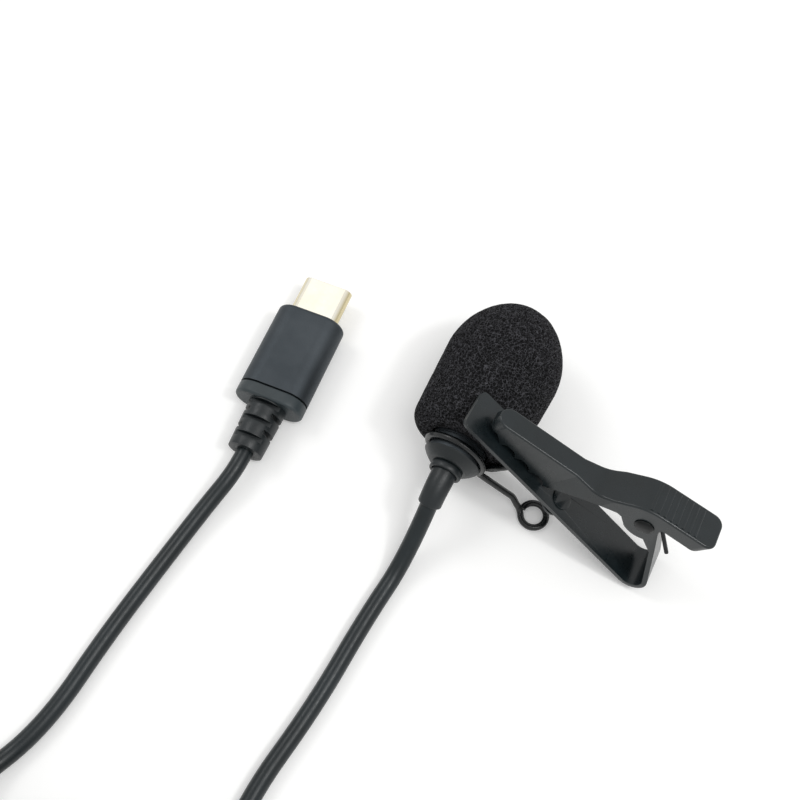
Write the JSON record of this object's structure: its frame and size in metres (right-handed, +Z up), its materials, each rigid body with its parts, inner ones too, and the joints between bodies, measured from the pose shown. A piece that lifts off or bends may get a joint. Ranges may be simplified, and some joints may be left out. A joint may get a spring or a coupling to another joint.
{
  "type": "lavalier microphone",
  "caption": "Clip-on lavalier microphone with a foam windscreen, sprung tie clip on a wire ring, and a thin cord that ends in a flat digital plug.",
  "frame": {"origin": "centre of the underside of the microphone and its clip, on the table they lie on, without the cord and the plug", "axes": "+Y along the microphone's axis towards the windscreen's tip, +X towards the clip's tail, +Z up from the table"},
  "size_m": [0.0791, 0.1412, 0.0217],
  "materials": {
    "foam": "matte open-cell foam",
    "black_metal": "black anodised, satin",
    "mesh_cloth": "fine woven mesh",
    "bright_metal": "drawn, bright",
    "film": "metallised film",
    "circuit": "lacquered laminate",
    "chip_plastic": "moulded, matte",
    "soft_rubber": "moulded, satin",
    "wire_plastic": "extruded sleeve",
    "gilt_metal": "gilt, bright",
    "cord_jacket": "extruded, satin",
    "black_steel": "black lacquer, gloss",
    "spring_steel": "drawn wire",
    "gilt_shell": "pale gilt, satin",
    "mould_plastic": "moulded over the board"
  },
  "bodies": {
    "microphone": {"mic_housing": "black_metal", "mic_grille": "black_metal", "acoustic_mesh": "mesh_cloth", "capsule_can": "bright_metal", "capsule_diaphragm": "film", "capsule_backplate": "bright_metal", "capsule_board": "circuit", "impedance_chip": "chip_plastic", "capsule_gasket": "soft_rubber", "lead_wires": "wire_plastic", "cable_crimp": "gilt_metal", "mic_cord_root": "cord_jacket", "rear_boot": "soft_rubber", "boot_collar": "soft_rubber", "mic_strain_relief": "soft_rubber", "plug_shell": "gilt_shell", "plug_insulator": "chip_plastic", "plug_contacts_top": "gilt_metal", "plug_contacts_bottom": "gilt_metal", "plug_latches": "spring_steel", "plug_circuit_board": "circuit", "audio_chip": "chip_plastic", "plug_inner_mould": "mould_plastic", "plug_sleeve": "black_metal", "plug_end_cap": "black_metal", "plug_strain_relief": "soft_rubber", "plug_cord_root": "cord_jacket", "cord_mic_run": "cord_jacket", "cord_coil": "cord_jacket", "cord_plug_run": "cord_jacket"},
    "windscreen": {"windscreen": "foam"},
    "clip": {"ring_wire": "black_steel", "lower_jaw": "black_steel", "hinge_pin": "black_steel", "torsion_spring": "spring_steel", "holder_rivet": "black_steel"},
    "lever": {"upper_lever": "black_steel"}
  },
  "joints": [
    {"name": "clip_turn", "type": "hinge", "parent": "microphone", "child": "clip", "pos_m": [-0.01424, -0.00795, 0.0091], "axis": [0, -1, 0], "range_deg": [-60, 150]},
    {"name": "lever_press", "type": "hinge", "parent": "clip", "child": "lever", "pos_m": [0.01409, -0.00626, 0.01582], "axis": [0, 0.9816, -0.1908], "range_deg": [0, 25], "stiffness_Nm_per_rad": 0.06, "springref_deg": -20.05, "deforming": ["torsion_spring"]},
    {"name": "windscreen_pull", "type": "slide", "parent": "microphone", "child": "windscreen", "axis": [0, 1, 0], "range_m": [0, 0.016]}
  ]
}
